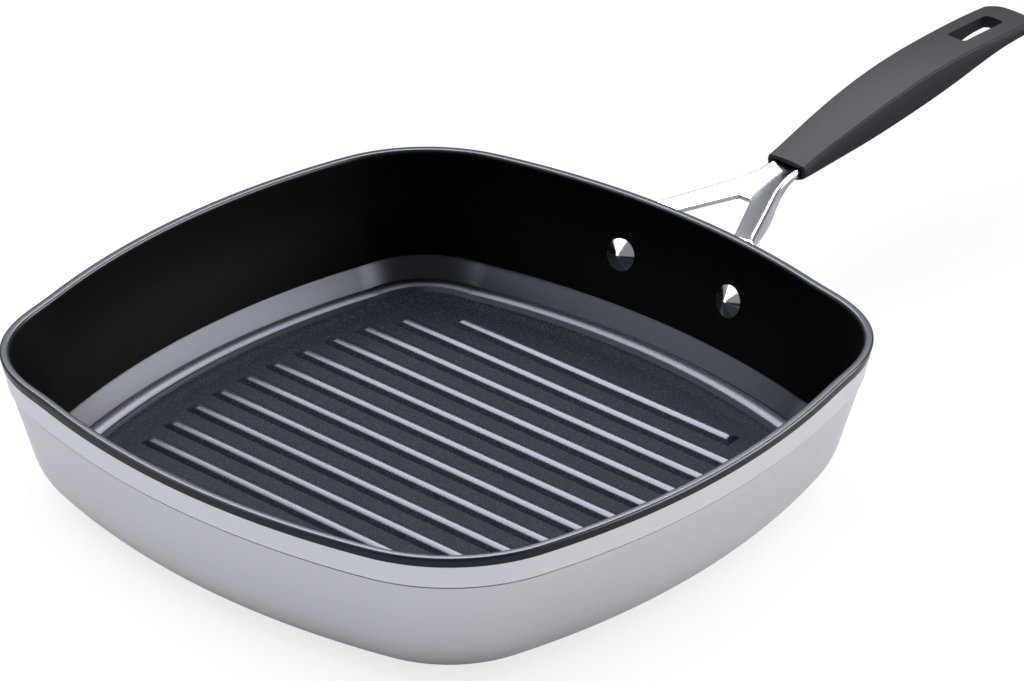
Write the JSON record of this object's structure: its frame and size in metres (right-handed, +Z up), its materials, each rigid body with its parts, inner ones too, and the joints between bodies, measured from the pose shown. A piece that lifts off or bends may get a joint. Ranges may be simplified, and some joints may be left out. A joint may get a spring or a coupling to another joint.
{
  "type": "grill pan",
  "caption": "Square grill pan with arched sides, raised parallel ridges, a riveted steel yoke and a moulded grip with a hanging slot.",
  "frame": {"origin": "middle of the flat face that the pan rests on", "axes": "+Z up, +X from the middle of the pan along the handle, +Y completes the right-handed frame"},
  "size_m": [0.48, 0.28, 0.0773],
  "materials": {
    "body_aluminium": "satin outside, dark non-stick coating inside",
    "induction_steel": "brushed in rings",
    "yoke_steel": "satin",
    "rivet_steel": "polished",
    "core_plastic": "matt",
    "cover_rubber": "soft matt",
    "screw_steel": "turned",
    "insert_brass": "turned"
  },
  "bodies": {
    "root": {"pan_body": "body_aluminium", "base_plate": "induction_steel", "handle_yoke": "yoke_steel", "rivets": "rivet_steel", "grip_core": "core_plastic", "grip_cover": "cover_rubber", "grip_screw": "screw_steel", "lock_washer": "screw_steel", "threaded_insert": "insert_brass"}
  },
  "joints": []
}
